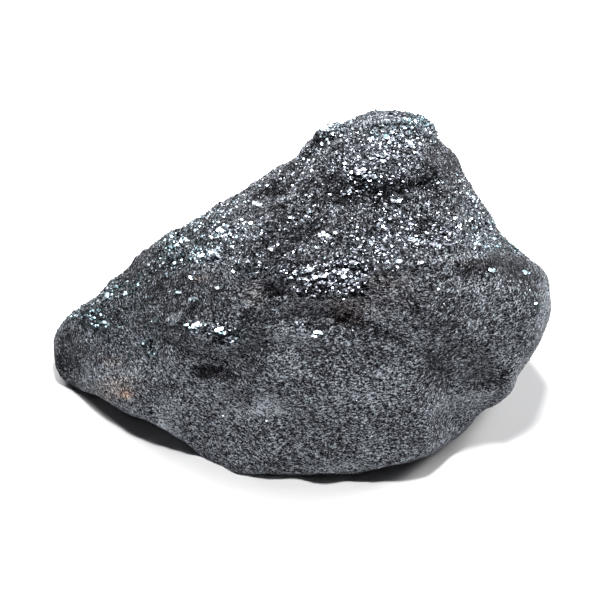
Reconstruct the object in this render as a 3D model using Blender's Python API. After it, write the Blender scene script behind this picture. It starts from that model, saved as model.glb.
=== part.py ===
"""Hand specimen of micaceous hematite: one solid lump, resting on a flat fracture face.

The lump is a blank bounded by rounded fracture planes. Knobs, hollows and ledges are then
raised and cut on it, and the ore's layers stand out as low steps. All sizes in the tables
are millimetres and degrees. +X is to the right, +Y to the back and +Z up. The tables measure
from a mark just under the lump, and the finished mesh is moved so that its origin is under the
middle of its bounding box, on the surface that it stands on.
"""

import bpy
import bmesh
import numpy as np
from mathutils import Vector, noise

MM = 0.001

# The grid: each side of the starting cube is divided into this many cells along an edge.
CELLS = 72
# The grid's directions are stretched along X, so that the cells come out even on a long lump.
GRID_STRETCH = np.array([1.45, 1.0, 1.0])
RELAXING_STEPS = 25  # rounds of evening out the cells
TRIANGLES = 9800  # left after the finished surface is simplified

# The blank. HEART is the point inside it that the fracture planes are measured from.
HEART = np.array([0.0, 2.0, 24.0])
TABLE_LEVEL = 1.8  # the height of the surface that the lump stands on
ROUNDING = 20.0  # the power that blends the planes: higher is sharper
# name: (azimuth from +X towards +Y, rise of the normal above level, distance from HEART)
FRACTURES = {
    "front_face": (267, 31, 11.7),
    "front_left_bevel": (246, 29, 14.2),
    "front_left_face": (224, 27, 17.0),
    "front_right_face": (298, 22, 22.0),
    "upper_slope": (270, 55, 13.5),
    "left_slope": (200, 50, 16.8),
    "crest_slope": (194, 63, 17.9),
    "summit": (330, 80, 29.0),
    "right_slope": (3, 27, 36.5),
    "right_shoulder": (335, 47, 28.5),
    "right_end": (352, -18, 44.6),
    "right_lower_end": (320, -20, 39.8),
    "right_undercut": (332, -66, 30.6),
    "front_undercut": (276, -74, 27.1),
    "left_undercut": (224, -60, 31.0),
    "left_end": (190, -4, 46.1),
    "back_left": (120, 29, 25.0),
    "back_face": (87, 14, 29.5),
    "back_right": (47, 14, 38.5),
    "back_undercut": (90, -53, 31.0),
    "underside": (0, -90, 27.0),
}

# Knobs (height above 0) and hollows (below 0).
# name: (centre, (azimuth, rise) of its long axis, half length, half width, height)
SWELLS = {
    "summit_knob": ((22, 20, 51), (0, 0), 7, 6, 0.6),
    "small_knob": ((5, 20, 48), (0, 0), 3.5, 3, 1.4),
    "small_knob_hollow": ((2, 16, 48), (30, 10), 3, 1.8, -0.9),
    "crest_notch": ((-2.5, 17, 45), (80, 10), 9, 3.2, -2.3),
    "left_hollow": ((-6, 11, 43), (205, -28), 4.5, 2.4, -1.5),
    "middle_dip": ((-1, 3, 40), (250, -40), 5, 4, -1.2),
    "summit_hollow": ((8, 6, 44), (0, 0), 5, 3, -1.1),
    "right_summit_hollow": ((23, 8, 45), (320, -30), 4, 3, -1.2),
    "right_end_bulge": ((43, 8, 24), (275, 25), 12, 8, 4.9),
    "shoulder_saddle": ((35, 14, 34), (75, 20), 12, 4, -2.5),
    "under_shelf": ((-13, -10, 20), (190, -5), 8, 3.5, -1.4),
    "brow_hollow": ((7, -9, 28), (340, -8), 12, 3.5, -1.1),
    "right_hollow": ((25, -12, 20), (330, -12), 8, 4, -1.2),
    "belly": ((12, -16, 13), (0, 0), 14, 8, 0.9),
    "left_lobe": ((-38, 7, 7), (130, 0), 7, 5, 1.3),
    "back_hollow": ((-14, 26, 22), (170, 25), 11, 6, -2.0),
    "back_bulge": ((14, 31, 20), (90, 60), 12, 9, 1.4),
    "right_back_hollow": ((36, 24, 16), (80, 50), 9, 5, -1.5),
}

# Ledges: the surface stands out above each and falls back below it.
# name: (centre, (azimuth, rise) of its run, half length, lip, reach above and below)
LEDGES = {
    "summit_ledge": ((14, 9, 46), (0, -4), 13, 0.9, 4),
    "brow": ((12, -4, 34.5), (0, 4), 27, 1.1, 5),
    "glint_shelf": ((-15, -8, 24), (0, 3), 19, 0.9, 4),
    "belly_top": ((10, -13, 23), (0, -14), 18, 0.5, 5),
    "back_upper_ledge": ((4, 28, 36), (172, -8), 22, 1.2, 5),
    "back_lower_ledge": ((16, 33, 18), (176, 5), 20, 1.0, 5),
    "right_end_ledge": ((42, 12, 17), (100, 8), 14, 0.9, 4),
}

LEDGE_SOFTNESS = 1.2  # half the width of a ledge's riser
LEDGE_THICKNESS = 12.0  # how far from its line a ledge still marks the surface
LEDGE_WANDER = (1.4, 9.0)  # how far a ledge strays from its line, and over what length
LEDGE_UP = np.array([0.0, 0.35, 0.94])  # up the slope that a ledge runs across

# The ore's layers lie nearly level and dip to the front.
LAYER_NORMAL = (265, 66)
LAYER_SPACING = 6.0
LAYER_STEP = 0.4
LAYER_RISE = 0.8  # the share of a layer's thickness that slopes outward; the rest steps back
LAYER_WAVES = ((26.0, 0.7), (9.0, 0.3))  # (length of a wave, its height in layers)
LAYER_PATCH = (14.0, 0.3, 2.5)  # size of a patch with steps, its share, its sharpness

# The broken surface is lumpy: (size of a lump, height of a lump)
LUMPS = ((15.0, 1.1), (6.5, 0.55))
NOISE_OFFSET = Vector((3.1, 7.7, 1.9))  # picks the pattern of all the noise
ELSEWHERE = 40.0  # a shift that makes one noise pattern independent of another

RESTING_TOLERANCE = 0.05  # points this near to the table's level are on the resting face


def direction(azimuth, rise):
    """Unit vector at this azimuth and rise, in degrees."""
    turn, up = np.radians(azimuth), np.radians(rise)
    return np.array([np.cos(turn) * np.cos(up), np.sin(turn) * np.cos(up), np.sin(up)])


def unit(vectors):
    """The vectors scaled to length 1."""
    return vectors / np.linalg.norm(vectors, axis=-1, keepdims=True)


def unevenness(points, size):
    """Smooth noise, about -1 to 1, whose lumps are this many millimetres across."""
    return np.array([noise.noise(Vector(p) / size + NOISE_OFFSET) for p in points])


def blank_points(rays):
    """The points where rays from HEART leave the rounded blank."""
    closeness = np.zeros(len(rays))
    for azimuth, rise, distance in FRACTURES.values():
        facing = np.clip(rays @ direction(azimuth, rise), 0.0, None)
        closeness += (facing / distance) ** ROUNDING
    reach = closeness ** (-1.0 / ROUNDING)
    return HEART + rays * reach[:, None]


def grid_sphere():
    """A cube with its sides divided into a grid, its points spread over all directions."""
    mesh = bmesh.new()
    bmesh.ops.create_cube(mesh, size=2.0)
    bmesh.ops.subdivide_edges(mesh, edges=mesh.edges[:], cuts=CELLS - 1, use_grid_fill=True)
    points = np.array([v.co for v in mesh.verts])
    return mesh, unit(np.tan(points * np.pi / 4) * GRID_STRETCH)


def relaxed_blank(mesh, rays):
    """The blank's points, with the grid's cells evened out along its surface."""
    ends = np.array([[v.index for v in edge.verts] for edge in mesh.edges])
    ends = np.concatenate([ends, ends[:, ::-1]])
    count = np.bincount(ends[:, 0])[:, None]
    for _ in range(RELAXING_STEPS):
        points = blank_points(rays)
        total = np.stack([np.bincount(ends[:, 0], points[ends[:, 1], k]) for k in range(3)], 1)
        rays = unit(total / count - HEART)
    return blank_points(rays)


def swell_relief(points):
    """Knobs and hollows, each fading out over its half length and half width."""
    relief = np.zeros(len(points))
    for centre, axis, half_length, half_width, height in SWELLS.values():
        away = points - centre
        along = away @ direction(*axis)
        across = np.sum(away**2, axis=1) - along**2
        relief += height * np.exp(-((along / half_length) ** 2) - across / half_width**2)
    return relief


def ledge_relief(points):
    """Ledges: out above each line and back below it, fading with distance from the line."""
    relief = np.zeros(len(points))
    stray, stray_length = LEDGE_WANDER
    wander = stray * unevenness(points, stray_length)
    for centre, axis, half_length, lip, reach in LEDGES.values():
        run = direction(*axis)
        up_slope = unit(LEDGE_UP - run * (LEDGE_UP @ run))
        away = points - centre
        along = away @ run
        above = away @ up_slope
        off = np.sum(away**2, axis=1) - along**2 - above**2
        ends = np.clip(1 - (along / half_length) ** 2, 0, 1) ** 2
        held = ends * np.exp(-off / LEDGE_THICKNESS**2 - np.abs(above + wander) / reach)
        relief += lip * held * np.tanh((above + wander) / LEDGE_SOFTNESS)
    return relief


def layer_relief(points):
    """Low steps, in patches, where the ore's layers break out of the surface."""
    level = points @ direction(*LAYER_NORMAL) / LAYER_SPACING
    for length, height in LAYER_WAVES:
        level += height * unevenness(points, length)
    place = level - np.floor(level)
    step = np.where(place < LAYER_RISE, place / LAYER_RISE, (1 - place) / (1 - LAYER_RISE))
    size, share, sharpness = LAYER_PATCH
    patch = np.clip(share + sharpness * unevenness(points + ELSEWHERE, size), 0, 1)
    return LAYER_STEP * (step - 0.5) * patch


def relief_at(points):
    """How far the surface stands out from the blank at these points."""
    relief = swell_relief(points) + ledge_relief(points) + layer_relief(points)
    for size, height in LUMPS:
        relief += height * unevenness(points, size)
    return relief


def cut_at_table(points):
    """The points below the table's level, drawn in towards HEART until they lie on it."""
    share = (HEART[2] - TABLE_LEVEL) / (HEART[2] - points[:, 2:])
    return np.where(points[:, 2:] < TABLE_LEVEL, HEART + (points - HEART) * share, points)


def relief_mesh():
    """The full surface on its fine grid, in millimetres."""
    grid, rays = grid_sphere()
    points = relaxed_blank(grid, rays)
    for vertex, point in zip(grid.verts, points):
        vertex.co = Vector(point)
    grid.normal_update()
    outward = np.array([v.normal for v in grid.verts])
    points = cut_at_table(points + outward * relief_at(points)[:, None])
    for vertex, point in zip(grid.verts, points):
        vertex.co = Vector(point)
    mesh = bpy.data.meshes.new("relief")
    grid.to_mesh(mesh)
    grid.free()
    return mesh


def simplified(mesh):
    """The same surface with fewer triangles, kept where it bends most."""
    holder = bpy.data.objects.new("holder", mesh)
    bpy.context.scene.collection.objects.link(holder)
    simpler = holder.modifiers.new("simpler", "DECIMATE")
    simpler.ratio = TRIANGLES / (12 * CELLS * CELLS)
    graph = bpy.context.evaluated_depsgraph_get()
    result = bpy.data.meshes.new_from_object(holder.evaluated_get(graph))
    bpy.data.objects.remove(holder)
    bpy.data.meshes.remove(mesh)
    return result


def specimen():
    """The specimen's mesh object, in metres, with the origin under the middle of it."""
    mesh = simplified(relief_mesh())
    points = np.array([v.co for v in mesh.vertices])
    low, high = points.min(axis=0), points.max(axis=0)
    points[:, :2] -= (low[:2] + high[:2]) / 2
    points[:, 2] -= TABLE_LEVEL
    # The resting face stays one true plane.
    points[points[:, 2] < RESTING_TOLERANCE, 2] = 0.0
    for vertex, point in zip(mesh.vertices, points):
        vertex.co = Vector(point * MM)
    mesh.name = "hematite"
    return bpy.data.objects.new("hematite", mesh)


def ore_material():
    """Dark steel-grey, weakly metallic."""
    material = bpy.data.materials.new("micaceous_hematite")
    material.use_nodes = True
    shader = material.node_tree.nodes["Principled BSDF"]
    shader.inputs["Base Color"].default_value = (0.12, 0.125, 0.14, 1.0)
    shader.inputs["Metallic"].default_value = 0.6
    shader.inputs["Roughness"].default_value = 0.5
    return material


def main():
    for leftover in list(bpy.data.objects):
        bpy.data.objects.remove(leftover)
    collection = bpy.data.collections.new("micaceous_hematite")
    bpy.context.scene.collection.children.link(collection)
    rock = specimen()
    rock.data.materials.append(ore_material())
    collection.objects.link(rock)


main()
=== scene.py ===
"""Micaceous hematite: a grainy lump of steel-grey ore, covered in small glittering flakes.

The rock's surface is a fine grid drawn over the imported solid. It gets the relief that is too
small for the solid, and then thousands of thin flakes that lie in it. Lengths are in
millimetres up to the point where a mesh is made.
"""

import bmesh
import bpy
import numpy as np
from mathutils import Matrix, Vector, noise
from mathutils.bvhtree import BVHTree


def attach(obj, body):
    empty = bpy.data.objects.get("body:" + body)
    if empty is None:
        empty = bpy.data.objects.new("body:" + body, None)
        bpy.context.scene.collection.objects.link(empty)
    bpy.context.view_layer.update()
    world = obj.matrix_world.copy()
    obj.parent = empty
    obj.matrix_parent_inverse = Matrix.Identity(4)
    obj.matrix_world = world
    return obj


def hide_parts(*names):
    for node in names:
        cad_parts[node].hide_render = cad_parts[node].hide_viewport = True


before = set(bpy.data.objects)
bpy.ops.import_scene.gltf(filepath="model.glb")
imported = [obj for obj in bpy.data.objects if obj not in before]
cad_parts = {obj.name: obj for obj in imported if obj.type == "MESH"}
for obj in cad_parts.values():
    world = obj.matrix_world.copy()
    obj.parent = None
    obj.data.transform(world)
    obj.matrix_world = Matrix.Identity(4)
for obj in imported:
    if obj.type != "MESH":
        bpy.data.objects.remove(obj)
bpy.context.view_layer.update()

# Without a seed of its own, Blender's vector noise follows the clock.
NOISE_SEED = 1
noise.seed_set(NOISE_SEED)

MM = 0.001

# The grid over the rock: cells along each edge of the cube that it starts from.
CELLS = 124
GRID_STRETCH = np.array([1.45, 1.0, 1.0])
HEART = np.array([0.0, -4.0, 22.0])
OUTSIDE = 120.0  # rays start this far from HEART
RELAXING_STEPS = 8
FACET_SMOOTHING = 14  # rounds of it
SMOOTHING = 0.5  # the share of the way to the neighbours' mean, in one round
REGROWTH = 0.53  # the share of the way back, which keeps the volume

# The ore's layers: the direction they face, as (azimuth, rise) in degrees.
LAYER_NORMAL = (265, 66)

# The camera: its height above the horizon, its distance and what it is aimed at.
CAMERA_RISE = 32.0
CAMERA_DISTANCE = 420.0
CAMERA_AIM = (-0.13, -5.6, 24.0)
SENSOR = 36.0
NEAREST, FARTHEST = 0.01, 20.0  # metres
PICTURE_WIDTH = 600.0  # pixels
PICTURE_CENTRE = PICTURE_WIDTH / 2
MM_PER_PIXEL = 0.181  # at the aim point

# The key light's direction, as (azimuth, rise) in degrees. The bright flakes face halfway between
# it and the camera.
KEY_FROM = (78, 83)
# The square lights: azimuth, rise, distance and width in metres, and power in watts.
LIGHTS = {
    "overhead": (*KEY_FROM, 0.8, 0.13, 6.2),
    "left": (120, 31, 1.0, 0.5, 13.0),
    "right": (33, 30, 1.0, 0.5, 14.0),
}
FLOOR_RADIUS = 0.42  # metres
FLOOR_COLOUR = (0.82, 0.82, 0.825, 1.0)
BACKDROP_RADIUS = 3.0  # metres
WORLD_COLOUR = (1.0, 0.94, 1.0, 1.0)
WORLD_STRENGTH = 0.012

# The line where the glittering top ends: pixels of the picture on the side that the camera
# sees, and (x, z) in millimetres on the far side.
BREAK_SEEN = (
    (50, 330),
    (100, 312),
    (150, 280),
    (230, 264),
    (262, 268),
    (290, 274),
    (302, 289),
    (352, 289),
    (374, 266),
    (410, 253),
    (460, 250),
    (520, 256),
    (560, 268),
)
BREAK_BEHIND = (
    (-48.0, 8.0),
    (-30.0, 20.0),
    (-12.0, 31.0),
    (12.0, 34.0),
    (28.0, 35.0),
    (48.0, 24.0),
)

# The fine relief: heights and sizes in millimetres.
SWELL_HEIGHT, SWELL_SIZE = 0.26, 4.5
GRAIN_HEIGHT, GRAIN_SIZE = 0.07, 1.3
TOP_GRAIN_HEIGHT = 0.05  # more of it on the glittering top
PLATE_TILT, PLATE_SIZE = 0.16, 1.7
LAYER_THICKNESS = 1.5
LAYER_STEP = 0.16
LAYER_SLOPE = 0.75  # the share of a layer that slopes up, before the surface drops to the next

# Where each of these starts, and where it is whole. Heights are in millimetres.
RELIEF_FADE = (0.0, 1.2)  # the relief, by the height over the floor
BREAK_FADE = (-0.8, 0.9)  # the glittering top, by the height over the break
TOP_FADE = (0.1, 0.4)  # the glittering top, by how far up a place faces, from -1 to 1
# The next two set where the painted shade of the underside and of the back starts and is whole.
UNDERSIDE_SHADE_FADE = (0.0, -0.7)  # the underside, by the same
BACK_SHADE_FADE = (0.05, -0.5)  # the back, by how far towards the camera a place faces, from -1 to 1
SIDE_FADE = (-0.1, 0.15)  # the side where BREAK_SEEN holds, by the same
SPOT_SIDE_FADE = (-0.25, 0.1)  # the side that has spots, by the same
OUTLINE_FADE = (0.95, 0.5)  # the outline, by the same
SPOT_FADE = (1.35, 0.5)  # a spot, by how far out in its ellipse a place is
BULGE_FADE = (20.0, 8.0)  # standing back, by the height over the floor
FOOT_FADE = (10.0, 3.0)  # coming down, by the same

# Noise of two sizes: the strength, the size in millimetres and the shift that picks its pattern.
BREAK_WANDER = ((0.7, 4.0, 60.0), (0.5, 1.3, 70.0))  # millimetres up or down
SPOT_WANDER = ((0.28, 2.0, 80.0), (0.24, 0.7, 90.0))  # of a spot's edge, as a share of its size
GLITTER_PATCHES = ((0.16, 2.6, 120.0), (0.1, 7.0, 130.0))

# How much darker these are than the rest, in stops. The underside's and the back's darkness is
# painted shade, which holds down the light that the floor and the two back lights give them.
TOP_DARKER = 0.8
UNDERSIDE_PAINTED_SHADE = 1.2
BACK_PAINTED_SHADE = 0.9
TOP_GLITTER = 0.42  # the glitter of the top where no spot changes it

# Spots that differ in tone, glitter or colour. x and y are a pixel of the 600 x 600 picture, the
# two half sizes are in millimetres and the turn is in degrees. Then come the changes in tone,
# in stops, and in glitter. Much of the tone is painted light and shade: painted shade in the
# hollows, under the ledges and below the break, and painted light on the summit, the ledges and
# the glinting band. Some of it is the ore's own lighter and darker patches.
SPOTS = {
    # summit
    "summit": (384, 147, 9.5, 6.2, 0, 1.35, 0.33),
    "summit_middle": (386, 138, 2.4, 2.2, 0, 0.4, 0.45),
    "summit_right": (409, 143, 2.2, 1.3, 0, 0.4, 0.45),
    "summit_top_right": (416, 131, 3.2, 2.6, 0, 1.0, 0.5),
    "summit_low": (381, 158, 2.6, 1.8, 0, 0.4, 0.45),
    "summit_low_left": (347, 162, 3.0, 2.2, 0, 0.8, 0.35),
    "summit_top_grey": (384, 119, 4.8, 1.4, 5, 0.1, -0.45),
    "summit_right_grey": (428, 153, 3.4, 2.6, 0, -0.2, -0.4),
    "knob_glints": (327, 132, 3.0, 1.6, 10, 1.0, 0.5),
    "knob_hollow": (321, 142, 3.2, 1.3, 12, -2.3, -0.4),
    "knob_foot": (307, 160, 2.6, 2.4, 0, 0.4, 0.1),
    "knob_rib": (334, 146, 3.0, 0.8, 40, 0.9, -0.3),
    "beside_ledge": (396, 163, 2.0, 1.6, -30, -1.2, -0.25),
    "right_dark_upper": (440, 165, 4.0, 3.2, -35, -1.2, -0.2),
    "summit_top_left": (352, 130, 3.6, 1.2, 30, -0.2, -0.1),
    "knob_side_light": (309, 153, 1.8, 1.8, 0, 1.4, 0.3),
    "summit_rim_light": (341, 139, 2.2, 1.4, 0, 0.8, 0.1),
    # under the summit, down to the glinting band
    "summit_ledge_line": (378, 177, 5.4, 1.3, 0, 0.9, 0.55),
    "under_summit_left": (365, 182, 2.6, 1.2, 0, 0.8, 0.15),
    "under_summit": (352, 197, 5.6, 1.6, -12, -0.5, -0.15),
    "under_summit_right": (415, 182, 4.2, 1.6, -20, 0.9, 0.2),
    "right_dark": (434, 190, 3.0, 1.8, 0, -1.5, -0.3),
    "right_glints": (466, 202, 1.6, 5.0, 30, 0.4, 0.2),
    "right_dark_light": (425, 181, 4.4, 0.9, -6, 0.9, 0.3),
    "under_summit_glints": (362, 192, 4.4, 1.0, -6, 1.2, 0.5),
    "upper_mid_glints": (392, 209, 4.0, 1.2, 0, 1.0, 0.25),
    "summit_ledge_end": (405, 176, 2.2, 1.2, 0, -0.9, -0.25),
    "under_summit_far": (330, 176, 4.0, 1.4, 0, -0.9, -0.15),
    "under_summit_middle": (398, 187, 2.6, 1.2, 0, 0.9, 0.15),
    "under_summit_low": (384, 199, 1.6, 1.6, 0, -0.8, -0.1),
    "under_summit_near": (340, 184, 2.0, 1.4, 0, -0.7, -0.1),
    # crest and slope at the left
    "crest_hollow": (279, 186, 2.9, 1.8, 20, -2.2, -0.4),
    "crest_hollow_left": (259, 195, 2.4, 1.4, 20, -1.6, -0.3),
    "crest_rim": (284, 200, 2.4, 0.8, 20, 1.1, 0),
    "left_slope": (212, 240, 10.0, 5.2, 18, 0.6, 0.28),
    "left_slope_top": (232, 208, 6.5, 1.8, 28, 0.6, 0.3),
    "left_slope_crest": (259, 204, 2.2, 0.9, 10, 0.5, 0.35),
    "left_slope_middle": (222, 231, 3.4, 1.6, 5, 0.4, 0.35),
    "left_slope_right": (248, 228, 3.4, 2.2, 0, 0.3, 0.25),
    "left_slope_low": (208, 256, 3.8, 1.3, 0, 0.6, 0.45),
    "left_slope_streak": (173, 250, 3.4, 1.4, 42, 0.4, 0.4),
    "left_shoulder": (144, 262, 5.0, 2.4, 44, -0.7, -0.4),
    "crest_face": (271, 209, 2.8, 1.6, 10, -1.2, -0.15),
    "crest_edge": (291, 168, 3.6, 1.2, 30, -0.7, 0),
    "crest_glints": (286, 179, 1.6, 1.0, 10, 1.2, 0.5),
    "left_slope_up": (218, 221, 6.4, 2.2, 25, -1.3, -0.25),
    "left_slope_streak_end": (183, 262, 2.4, 1.6, 30, -0.8, -0.2),
    "slope_upper_dark": (253, 203, 1.8, 2.2, 0, -0.8, -0.1),
    "crest_side_light": (282, 182, 2.2, 1.2, -30, 0.8, 0.2),
    # valley between the slope and the summit
    "valley_low": (310, 232, 3.2, 2.0, 0, -1.6, -0.3),
    "valley": (293, 224, 2.8, 2.6, 0, -0.5, -0.1),
    "valley_left": (280, 241, 3.4, 3.0, 0, -0.9, -0.15),
    "valley_dark": (261, 245, 1.5, 1.6, 0, -1.1, -0.2),
    "valley_slab": (326, 248, 6.0, 1.8, 6, 0.9, -0.1),
    "valley_glint": (325, 239, 1.8, 1.0, -20, 0.9, 0.4),
    "valley_top_light": (302, 213, 2.0, 1.4, 0, 0.8, 0.2),
    "valley_light": (299, 221, 1.8, 1.4, 0, 1.2, 0.25),
    "above_break": (308, 262, 2.8, 1.1, 0, -0.6, -0.25),
    "valley_foot_dark": (281, 262, 2.4, 1.4, 0, -0.8, -0.15),
    "valley_top_dark": (275, 212, 2.4, 2.2, 0, -0.6, -0.15),
    "valley_right_dark": (343, 222, 2.4, 1.2, 0, -0.7, -0.15),
    "valley_light_left": (256, 240, 2.0, 1.8, 0, 0.6, 0.1),
    "crest_light": (318, 193, 1.8, 1.8, 0, 0.8, 0.1),
    "valley_light_middle": (297, 221, 1.6, 2.0, 0, 0.9, 0.15),
    # glinting band over the break
    "right_crest_face": (472, 225, 3.2, 5.0, 20, 0.6, 0.05),
    "band": (422, 231, 10.0, 3.6, -4, 0.5, 0.27),
    "band_left": (396, 241, 4.6, 1.8, 8, 0.9, 0.45),
    "band_upper": (386, 229, 1.5, 2.2, 0, 0.2, 0.25),
    "band_right": (481, 244, 1.8, 3.0, 0, 0.8, 0.3),
    "band_middle": (358, 240, 2.8, 2.6, 0, 1.4, 0.4),
    "band_right_glints": (444, 238, 4.6, 1.8, 10, 1.0, 0.3),
    "band_right_low": (424, 233, 2.8, 1.6, -20, -1.5, -0.2),
    "band_end_dark": (420, 261, 3.0, 1.3, 0, -1.2, -0.2),
    "band_middle_dark": (372, 232, 1.8, 2.6, 0, -0.7, -0.15),
    "band_end_light": (432, 228, 2.0, 1.4, 20, 0.8, 0.15),
    # the break and the dark band under it
    "band_low": (368, 266, 7.4, 3.0, 10, 1.6, 0.55),
    "under_break": (322, 281, 7.6, 3.2, 4, 2.8, 0.9),
    "under_break_right": (348, 292, 3.0, 1.8, 20, 1.2, 0.3),
    "break_hollow": (278, 288, 3.0, 1.7, 0, -2.7, -0.5),
    "dark_band": (307, 309, 5.6, 1.4, 0, -0.3, 0),
    "dark_band_middle": (346, 313, 3.0, 2.2, -20, -0.4, -0.1),
    "dark_band_right": (379, 330, 5.2, 1.1, -24, -1.5, 0),
    "dark_band_glints": (362, 292, 4.4, 1.4, -6, 0, 0.22),
    "dark_band_sparks": (377, 323, 2.4, 0.6, -5, 0, 0.3),
    "dark_band_far_left": (270, 313, 4.6, 2.0, 0, -0.9, 0),
    "break_left_light": (282, 271, 4.0, 1.0, 4, 1.0, 0.35),
    "band_low_right": (388, 268, 2.4, 1.6, 0, 0.6, 0.1),
    "below_band_right": (379, 322, 2.4, 2.0, 0, 0.7, 0.05),
    "below_band_dark": (405, 301, 3.4, 1.6, 0, -0.6, 0),
    "face_dark_line": (290, 321, 2.8, 1.0, 0, -0.6, 0),
    "dark_band_left": (281, 309, 2.0, 0.8, 0, 0.7, 0),
    "slope_foot_right": (276, 274, 2.0, 2.2, 0, 0.8, 0.1),
    "face_top_dark": (358, 332, 1.8, 2.2, 0, -0.9, 0),
    "slope_low_light": (260, 271, 4.8, 1.8, 0, 1.9, 0.4),
    "face_upper_dark": (316, 326, 2.4, 1.4, 0, -1.2, 0),
    "band_left_light": (308, 284, 3.6, 1.4, 0, 1.1, 0.4),
    "dark_band_low": (330, 314, 2.4, 1.2, 10, 0.6, 0),
    # right end of the break
    "dark_slit": (442, 277, 1.9, 0.5, 0, -2.5, 0),
    "right_break_dark": (477, 268, 3.6, 1.8, -5, -1.1, -0.1),
    "right_break_dark_far": (512, 268, 6.0, 2.6, -28, -1.6, -0.1),
    "right_top_dark": (485, 266, 6.0, 1.6, 10, -1.0, -0.1),
    "right_top_end": (521, 271, 1.8, 1.6, 0, -0.8, -0.2),
    # right side
    "belly_side_dark": (438, 376, 3.0, 4.6, -10, -1.3, 0),
    "right_face_dark": (462, 347, 5.2, 2.6, 0, -0.7, 0.03),
    "right_face_dark_low": (488, 382, 4.4, 3.4, -30, -1.1, 0.03),
    "right_mid": (490, 303, 8.0, 4.4, 0, 0.1, 0),
    "right_edge_glints": (536, 301, 1.8, 4.4, 0, 0, 0.22),
    "right_low_edge": (526, 342, 3.0, 2.8, 60, -0.9, 0.05),
    "right_low_blue": (484, 402, 3.8, 1.3, 22, 0.8, 0),
    "right_upper_belly": (440, 303, 6.0, 4.6, 0, -0.9, 0),
    "low_right_dark": (432, 432, 4.0, 2.4, 20, -0.6, 0),
    "right_edge_dark": (528, 300, 2.6, 4.0, 0, -0.8, 0),
    "right_belly_dark": (446, 327, 3.2, 1.6, 0, -0.9, 0),
    "right_dark_low": (478, 357, 3.0, 2.0, 0, -0.6, 0),
    "right_dark_mid": (430, 366, 2.2, 2.0, 0, -0.5, 0),
    "right_edge": (525, 286, 5.0, 5.0, 0, -0.4, -0.05),
    "right_face_light": (455, 412, 4.0, 2.2, 10, 0.6, 0),
    "right_face_upper": (450, 362, 2.0, 1.6, 0, 0.7, 0),
    "face_right_low": (418, 348, 3.0, 1.8, 20, -0.4, 0),
    "right_low_light": (485, 362, 2.4, 2.0, 0, 0.4, 0),
    # foot of the left slope
    "left_mid_dark": (165, 280, 5.6, 2.4, 20, -0.9, -0.1),
    "slope_foot": (256, 268, 4.6, 1.2, 4, 1.6, 0.35),
    "slope_low_dark": (190, 296, 7.5, 3.6, 10, -0.7, -0.05),
    "under_slope": (227, 284, 4.2, 1.2, 5, -0.6, -0.1),
    "slope_foot_light": (200, 298, 1.6, 2.4, 0, 0.7, 0.05),
    "left_dark_patch": (190, 287, 2.4, 2.8, 20, -0.6, 0),
    # left end
    "left_mid": (150, 312, 15.0, 7.0, 12, -0.6, 0.14),
    "left_tip": (64, 356, 3.4, 5.6, 0, -1.1, -0.2),
    "left_tip_glints": (96, 323, 2.8, 2.0, 0, 0, 0.25),
    "left_patch": (118, 372, 4.6, 1.8, 10, 0.7, -0.1),
    "left_chain": (149, 347, 1.1, 2.6, 30, 1.6, 0.6),
    "left_tip_top": (80, 330, 2.6, 1.8, 20, -0.5, -0.1),
    "left_tip_low": (58, 365, 2.2, 4.0, 0, -0.8, -0.1),
    "tip_light": (61, 346, 1.6, 1.6, 0, 0.9, 0),
    "left_cluster": (134, 290, 2.8, 1.2, 50, 0.8, 0.15),
    "left_face": (85, 345, 6.0, 5.0, 30, -0.25, 0),
    "left_glints": (99, 328, 3.0, 3.0, 0, 0.6, 0.12),
    "slope_left_dark": (128, 278, 2.4, 1.6, -40, -0.5, -0.2),
    "left_tip_light": (95, 330, 3.0, 2.4, 0, 0.5, 0.1),
    "left_shelf_light": (152, 342, 2.2, 2.4, 0, 0.6, 0.1),
    "left_middle_dark": (131, 352, 1.8, 1.8, 0, -0.6, 0),
    "left_top_light": (88, 318, 3.0, 1.6, 0, 0.5, 0.1),
    # the shelf and the hollow under it
    "left_mid_low": (190, 345, 6.0, 2.0, 0, -0.5, 0.1),
    "shelf": (216, 328, 6.8, 1.8, -10, 0.7, 0.25),
    "shelf_glints": (226, 332, 3.2, 2.0, -10, 1.3, 0.6),
    "shelf_pink": (178, 318, 1.7, 0.7, 28, 2, -0.1),
    "shelf_right": (290, 336, 4.4, 2.0, 0, 1.2, 0),
    "shelf_hollow": (214, 375, 4.4, 1.4, -12, -1.8, 0),
    "shelf_hollow_left": (206, 374, 2.2, 1.2, 0, -1.3, 0),
    "shelf_hollow_right": (254, 338, 3.2, 5.0, 0, -1.0, 0),
    "shelf_hollow_top": (250, 316, 1.6, 1.6, 0, -0.7, 0),
    "belly_left": (285, 372, 3.2, 3.0, 0, 0.4, 0),
    "shelf_under": (225, 362, 3.0, 1.2, -10, 0.8, 0.1),
    "lower_left_glints": (177, 374, 2.4, 0.9, -8, 1.0, 0.2),
    "shelf_hollow_low": (240, 376, 3.0, 2.0, 0, -0.9, 0),
    "shelf_right_light": (222, 336, 4.8, 1.8, -5, 1.6, 0.15),
    "below_shelf": (213, 361, 2.2, 1.4, 0, -0.6, 0),
    "face_left_dark": (258, 368, 2.0, 1.4, 0, -0.6, 0),
    "left_dark_line": (190, 313, 2.4, 1.2, 30, -0.9, -0.1),
    "left_shelf_dark": (188, 318, 3.0, 1.6, 20, -0.7, -0.1),
    "left_low_middle": (178, 378, 1.6, 1.6, 0, 0.7, 0),
    "shelf_end_light": (238, 332, 1.8, 1.3, 0, 1.1, 0.15),
    # lower left
    "lower_left_dark": (166, 385, 4.2, 1.0, -10, -0.9, 0.05),
    "lower_left_dark_end": (140, 392, 2.6, 0.9, -12, -0.5, 0.05),
    "foot_light": (167, 422, 2.6, 3.4, 0, 0.8, 0),
    "rust_light": (118, 388, 4.0, 2.0, 10, 0.6, 0),
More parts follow.
